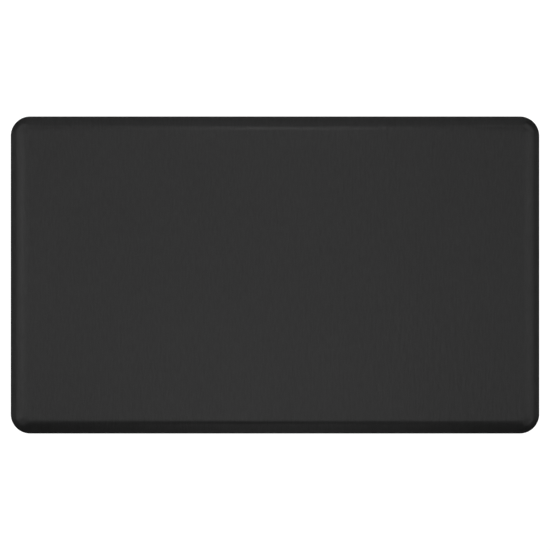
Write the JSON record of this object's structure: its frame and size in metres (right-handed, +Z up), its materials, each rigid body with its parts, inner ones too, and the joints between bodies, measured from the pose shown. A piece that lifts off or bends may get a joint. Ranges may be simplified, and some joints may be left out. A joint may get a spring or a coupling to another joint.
{
  "type": "anti fatigue mat",
  "caption": "Low rectangular cushioned standing mat with rounded corners, bevelled edges, a foam core and a non-slip underside.",
  "frame": {"origin": "centre of the underside, on the floor", "axes": "+X along the mat's length, +Y across its width, +Z up out of the standing surface"},
  "size_m": [0.762, 0.4572, 0.0191],
  "materials": {
    "cover_skin": "matte",
    "core_foam": "matte",
    "base_skin": "matte"
  },
  "bodies": {
    "root": {"top_cover": "cover_skin", "foam_core": "core_foam", "non_slip_base": "base_skin"}
  },
  "joints": []
}
